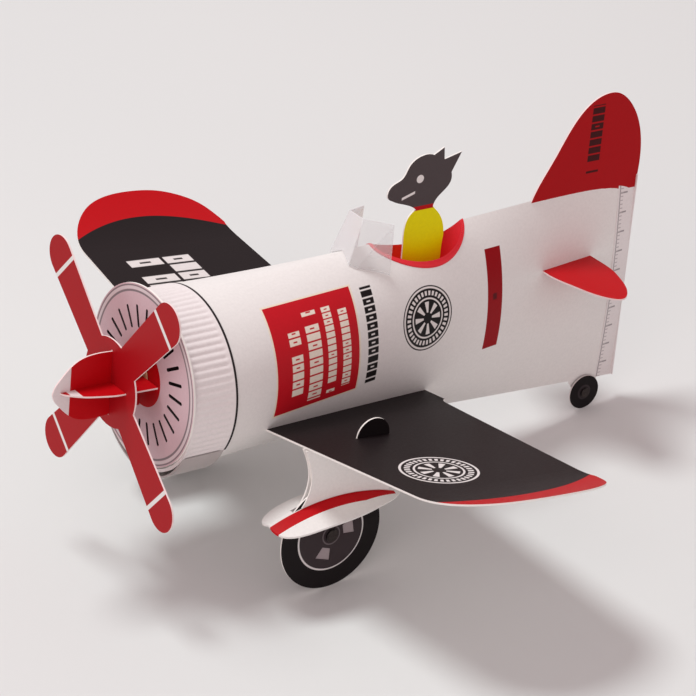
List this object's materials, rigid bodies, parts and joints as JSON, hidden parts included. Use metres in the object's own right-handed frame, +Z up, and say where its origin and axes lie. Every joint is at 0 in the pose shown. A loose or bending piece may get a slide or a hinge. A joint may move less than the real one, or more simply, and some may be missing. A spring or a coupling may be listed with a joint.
{
  "type": "card model aeroplane",
  "caption": "Slot-together card toy monoplane with a tapering tube fuselage, flat wings, turning propeller and spinner, rolling wheels and a flat animal pilot.",
  "frame": {"origin": "middle of the overall box, on the plane its three wheels stand on", "axes": "+X towards the nose, +Y towards the left wing tip, +Z up"},
  "size_m": [0.2026, 0.2164, 0.1028],
  "materials": {
    "black_card": "matt",
    "clear_sheet": "gloss",
    "crimp_card": "satin printed",
    "face_card": "satin printed",
    "fender_card": "satin printed",
    "hub_card": "satin printed",
    "pilot_card": "matt printed",
    "pin_metal": "blackened",
    "red_card": "satin printed",
    "shaft_wood": "sanded",
    "skirt_card": "satin printed",
    "tube_card": "satin printed",
    "tyre_card": "satin printed",
    "white_card": "matt",
    "wing_card": "satin printed"
  },
  "bodies": {
    "airframe": {"axle_pin_left": "pin_metal", "axle_pin_right": "pin_metal", "cap_chin": "white_card", "cap_face": "face_card", "cap_skirt": "skirt_card", "cockpit_rim": "red_card", "cockpit_tub": "red_card", "face_backing": "black_card", "fender_left": "fender_card", "fender_right": "fender_card", "fin": "red_card", "fuselage_tube": "tube_card", "leg_cover_left": "white_card", "leg_cover_right": "white_card", "leg_left": "white_card", "leg_right": "white_card", "leg_spacer_left": "white_card", "leg_spacer_right": "white_card", "mid_former": "white_card", "nose_coupler": "white_card", "nose_former": "white_card", "pilot": "pilot_card", "pilot_foot": "white_card", "rear_former": "white_card", "seam_strip": "white_card", "shaft_bearing": "black_card", "stabiliser": "red_card", "tail_axle_pin": "pin_metal", "tail_crimp_strip": "crimp_card", "tail_wheel_bracket": "white_card", "windshield": "clear_sheet", "wing_joiner": "white_card", "wing_left": "wing_card", "wing_right": "wing_card"},
    "propeller": {"propeller": "red_card", "spinner_vertical": "red_card", "spinner_horizontal": "red_card", "propeller_shaft": "shaft_wood", "thrust_washer": "white_card", "shaft_stop": "white_card"},
    "wheel_left": {"wheel_left": "tyre_card", "wheel_cap_left": "hub_card"},
    "wheel_right": {"wheel_right": "tyre_card", "wheel_cap_right": "hub_card"},
    "tail_wheel": {"tail_wheel": "tyre_card"}
  },
  "joints": [
    {"name": "propeller_spin", "type": "hinge", "parent": "airframe", "child": "propeller", "pos_m": [0.08254, 0, 0.06291], "axis": [0.9937, 0, 0.1118], "continuous": true},
    {"name": "wheel_left_roll", "type": "hinge", "parent": "airframe", "child": "wheel_left", "pos_m": [0.03673, 0.0372, 0.0166], "axis": [0, 1, 0], "continuous": true},
    {"name": "wheel_right_roll", "type": "hinge", "parent": "airframe", "child": "wheel_right", "pos_m": [0.03673, -0.0372, 0.0166], "axis": [0, 1, 0], "continuous": true},
    {"name": "tail_wheel_roll", "type": "hinge", "parent": "airframe", "child": "tail_wheel", "pos_m": [-0.08156, 0.0008, 0.0054], "axis": [0, 1, 0], "continuous": true}
  ]
}
